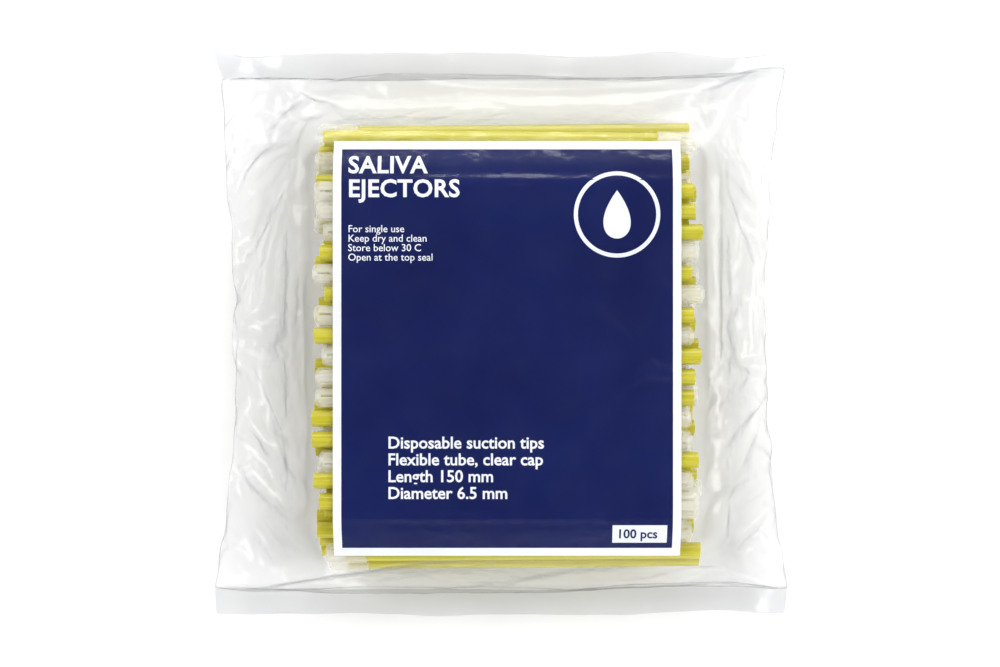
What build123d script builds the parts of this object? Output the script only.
from build123d import *
import math
import os
import random

# A sealed clear pack of 100 disposable saliva ejectors with a printed card, lying on its back.
#
# Each ejector is a flexible tube with a wire in its wall and a slotted cap pushed on one end. The
# ejectors lie along X in five nested rows inside a film bag that is heat-sealed at both Y ends. The
# card lies on the front row, under the front film. +Z is up, and Z = 0 is the surface that the bag's
# back lies on. Millimetres.

# ---- the ejector ----
EJECTOR_LENGTH = 150.0
TUBE_DIAMETER = 6.5
TUBE_BORE = 4.5
WIRE_DIAMETER = 0.6
CAP_DIAMETER = 7.8
CAP_LENGTH = 16.5
CAP_SKIRT = 8.3  # the length of tube inside the cap
CAP_BORE = 5.4  # inside the cap's free end
CAP_END_WALL = 1.4
CAP_END_RADIUS = 2.2
CAP_END_HOLE = 2.2
CAP_SLOT_WIDTH = 1.0
CAP_SLOT_LENGTH = 4.6
CAP_SLOTS = 4

# ---- the stack: one letter for each ejector, from the pack's top edge (+Y) to its bottom edge.
# L has its cap at the left end (-X), and R at the right end.
ROWS = (
    "RLRRLLRLRLLRRLRLLRRL",
    "LRRLRLLRRLRRLLRLRRLLR",
    "LRLLRRLRLRRLLRRLRLLRRL",
    "RLRLLRRLRLLRRRLRLRRRL",
    "LLLRLRLRLLLRRLRR",
)
PITCH = 8.2  # between neighbours in a row
ROW_RISE = 6.85  # from one row to the next, which lies in its grooves
STACK_X = 3.0  # the stack lies a little off the bag's middle
STACK_Y = -5.0
END_SCATTER = 2.8  # how far an ejector's ends stand from the row's line
WIRE_TURN = 137.5  # degrees that each wire is turned from the one before
SEED = 11

# ---- the card ----
CARD_WIDTH = 137.0
CARD_HEIGHT = 164.0
CARD_THICKNESS = 0.35
CARD_X = 2.8
CARD_Y = -6.0
CARD_DROOP = 20.0  # degrees that its ends slope down over the stack's shoulders
CARD_BEND_RADIUS = 25.0

# ---- the bag ----
BAG_WIDTH_AT_SEAL = 235.0
BAG_WIDTH_AT_MIDDLE = 214.0
BAG_HEIGHT = 230.0
SEAL_BAND = 11.0
BAND_OVERHANG = 1.0  # how far the sealed bands stand out past the side folds
FILM = 0.3
FOLD_Z = 14.0  # height of the side folds and of both seals
SLIDE = 5.0  # travel of an ejector each way
CLEARANCE = 0.2

CAP_RADIUS = CAP_DIAMETER / 2
TUBE_LENGTH = EJECTOR_LENGTH - (CAP_LENGTH - CAP_SKIRT)
STACK_BASE = FILM + CLEARANCE
STACK_TOP = STACK_BASE + (len(ROWS) - 1) * ROW_RISE + CAP_DIAMETER
CARD_UNDERSIDE = STACK_TOP + CLEARANCE
SEAL_Y = BAG_HEIGHT / 2 - SEAL_BAND
FRONT_ROW = len(ROWS) - 1
FRONT_HALF = (len(ROWS[FRONT_ROW]) - 1) / 2 * PITCH  # from the stack's middle to the outermost axis
# from the stack's middle to the corner of the card's bend, which starts past the outermost ejector
CARD_BEND = FRONT_HALF + CAP_RADIUS + CARD_BEND_RADIUS * math.tan(math.radians(CARD_DROOP / 2))


def tube_and_wire():
    """The tube along +X from its open end at X = 0, and the wire that fills the hole in its wall."""
    wire_radius = (TUBE_DIAMETER + TUBE_BORE) / 4
    across = Plane.YZ
    tube_face = across * (Circle(TUBE_DIAMETER / 2) - Circle(TUBE_BORE / 2))
    wire_face = across * Pos(wire_radius, 0) * Circle(WIRE_DIAMETER / 2)
    tube = extrude(tube_face - wire_face, TUBE_LENGTH)
    wire = extrude(wire_face, TUBE_LENGTH)
    return tube, wire


def cap():
    """The cap on the tube's far end: a skirt over the tube, and a hollow slotted end beyond it."""
    start = EJECTOR_LENGTH - CAP_LENGTH
    body = extrude(Plane.YZ.offset(start) * Circle(CAP_RADIUS), CAP_LENGTH)
    end_rim = body.edges().filter_by(GeomType.CIRCLE).sort_by(Axis.X)[-1]
    body = fillet(end_rim, CAP_END_RADIUS)
    skirt_bore = extrude(Plane.YZ.offset(start) * Circle(TUBE_DIAMETER / 2), CAP_SKIRT)
    hollow_length = CAP_LENGTH - CAP_SKIRT - CAP_END_WALL
    hollow = extrude(Plane.YZ.offset(TUBE_LENGTH) * Circle(CAP_BORE / 2), hollow_length)
    end_hole = extrude(Plane.YZ.offset(TUBE_LENGTH) * Circle(CAP_END_HOLE / 2), CAP_LENGTH)
    slot_x = TUBE_LENGTH + hollow_length / 2
    slot_plane = Plane(origin=(slot_x, 0, 0), x_dir=(1, 0, 0), z_dir=(0, 0, 1))
    slot = extrude(slot_plane * SlotOverall(CAP_SLOT_LENGTH, CAP_SLOT_WIDTH), CAP_RADIUS + 1)
    for turn in range(CAP_SLOTS):
        body -= Rot(X=360 / CAP_SLOTS * turn) * slot
    return body - skirt_bore - hollow - end_hole


def ejector_places():
    """For each row, the place of each of its ejectors: from the ejector's own frame to the pack's."""
    scatter = random.Random(SEED)
    turned = 0.0
    rows = []
    for row, sides in enumerate(ROWS):
        places = []
        for i, side in enumerate(sides):
            y = STACK_Y + ((len(sides) - 1) / 2 - i) * PITCH
            z = STACK_BASE + CAP_RADIUS + row * ROW_RISE
            x = STACK_X + scatter.uniform(-END_SCATTER, END_SCATTER)
            turned += WIRE_TURN
            facing = Rot(Z=180) if side == "L" else Rot(Z=0)
            middle = Pos(X=-EJECTOR_LENGTH / 2)
            places.append(Pos(x, y, z) * facing * Rot(X=turned) * middle)
        rows.append(places)
    return rows


def card():
    """A stiff paper card, flat over the front row and sloping down past it at both ends."""
    slope = math.tan(math.radians(CARD_DROOP))
    middle_z = CARD_UNDERSIDE
    low_y = CARD_Y - CARD_HEIGHT / 2
    high_y = CARD_Y + CARD_HEIGHT / 2
    bends = (STACK_Y - CARD_BEND, STACK_Y + CARD_BEND)
    outline = FilletPolyline(
        (0, low_y, middle_z - (bends[0] - low_y) * slope),
        (0, bends[0], middle_z),
        (0, bends[1], middle_z),
        (0, high_y, middle_z - (high_y - bends[1]) * slope),
        radius=CARD_BEND_RADIUS,
    )
    underside = Pos(X=CARD_X - CARD_WIDTH / 2) * outline
    sheet = Shell.extrude(underside.wire(), (CARD_WIDTH, 0, 0))
    return thicken(sheet, CARD_THICKNESS)


def bag_half_width(y):
    """The bag is widest at its seals and drawn in at its middle, where the contents fill it."""
    drawn_in = (BAG_WIDTH_AT_SEAL - BAG_WIDTH_AT_MIDDLE) / 2 - BAND_OVERHANG
    return BAG_WIDTH_AT_MIDDLE / 2 + drawn_in * (y / SEAL_Y) ** 2


def height_at(profile, distance):
    """The height of a film at a distance from the stack's middle line, between the profile's points."""
    for (near, near_z), (far, far_z) in zip(profile, profile[1:]):
        if distance <= far:
            return near_z + (far_z - near_z) * (distance - near) / (far - near)
    return profile[-1][1]


def bag_body(skin, end_y):
    """The closed shape of the filled bag as far as end_y, with its walls moved out by skin."""
    slide_room = EJECTOR_LENGTH / 2 + END_SCATTER + SLIDE + CLEARANCE
    flat_right = STACK_X + slide_room
    flat_left = STACK_X - slide_room
    card_top = CARD_UNDERSIDE + CARD_THICKNESS + CLEARANCE
    card_bend_end = CARD_BEND + 1
    back_row_end = (len(ROWS[0]) - 1) / 2 * PITCH + CAP_RADIUS + 1
    widest_row_end = (max(len(row) for row in ROWS) - 1) / 2 * PITCH + CAP_RADIUS + 1
    shoulder = widest_row_end - PITCH / 2
    shoulder_z = card_top - ROW_RISE + CAP_RADIUS / 2
    # distance from the stack's middle line, and height: for the film over it and the film under it
    over = ((0, card_top), (card_bend_end, card_top), (shoulder, shoulder_z))
    over += ((widest_row_end, shoulder_z - ROW_RISE),)
    under = ((0, FILM), (back_row_end, FILM), (widest_row_end, FOLD_Z - CAP_RADIUS))
    stations = sorted({distance for distance, z in over + under})
    seal_gap = CLEARANCE / 2  # half the height that is left between the films at the seal
    sections = [(-end_y, FOLD_Z + seal_gap, FOLD_Z - seal_gap)]
    for distance in reversed(stations):
        sections.append((STACK_Y - distance, height_at(over, distance), height_at(under, distance)))
    for distance in stations[1:]:
        sections.append((STACK_Y + distance, height_at(over, distance), height_at(under, distance)))
    sections.append((end_y, FOLD_Z + seal_gap, FOLD_Z - seal_gap))
    wires = []
    for y, over_z, under_z in sections:
        fold = bag_half_width(y) - FILM + skin
        corners = [
            (-fold, y, FOLD_Z),
            (flat_left, y, over_z + skin),
            (flat_right, y, over_z + skin),
            (fold, y, FOLD_Z),
            (flat_right, y, under_z - skin),
            (flat_left, y, under_z - skin),
        ]
        wires.append(Wire.make_polygon([Vector(*c) for c in corners], close=True))
    return Solid.make_loft(wires, ruled=True)


def bag():
    """The front film and the back film, which meet at the side folds and at both sealed bands."""
    walls = bag_body(FILM, SEAL_Y + FILM) - bag_body(0, SEAL_Y - FILM)
    band_y = (BAG_HEIGHT - SEAL_BAND) / 2
    band = Box(BAG_WIDTH_AT_SEAL, SEAL_BAND, 2 * FILM)
    walls += Pos(0, band_y, FOLD_Z) * band
    walls += Pos(0, -band_y, FOLD_Z) * band
    block_height = 2 * STACK_TOP
    upper = Pos(Z=FOLD_Z + block_height / 2) * Box(2 * BAG_WIDTH_AT_SEAL, 2 * BAG_HEIGHT, block_height)
    return walls & upper, walls - upper


def save(shape, node):
    shape.label = node
    export_step(shape, f"parts/{node}.step")


def main():
    os.makedirs("parts", exist_ok=True)
    tube, wire = tube_and_wire()
    pieces = {"tube": tube, "wire": wire, "cap": cap()}
    rows = ejector_places()
    for number, place in enumerate(rows[FRONT_ROW], start=1):
        for name, shape in pieces.items():
            save(place * shape, f"ejector_{number:02d}_{name}")
    inner_places = [place for row in rows[:FRONT_ROW] for place in row]
    for name, shape in pieces.items():
        save(Compound(children=[place * shape for place in inner_places]), f"inner_{name}s")
    save(card(), "label_card")
    front, back = bag()
    save(front, "bag_front_film")
    save(back, "bag_back_film")


main()
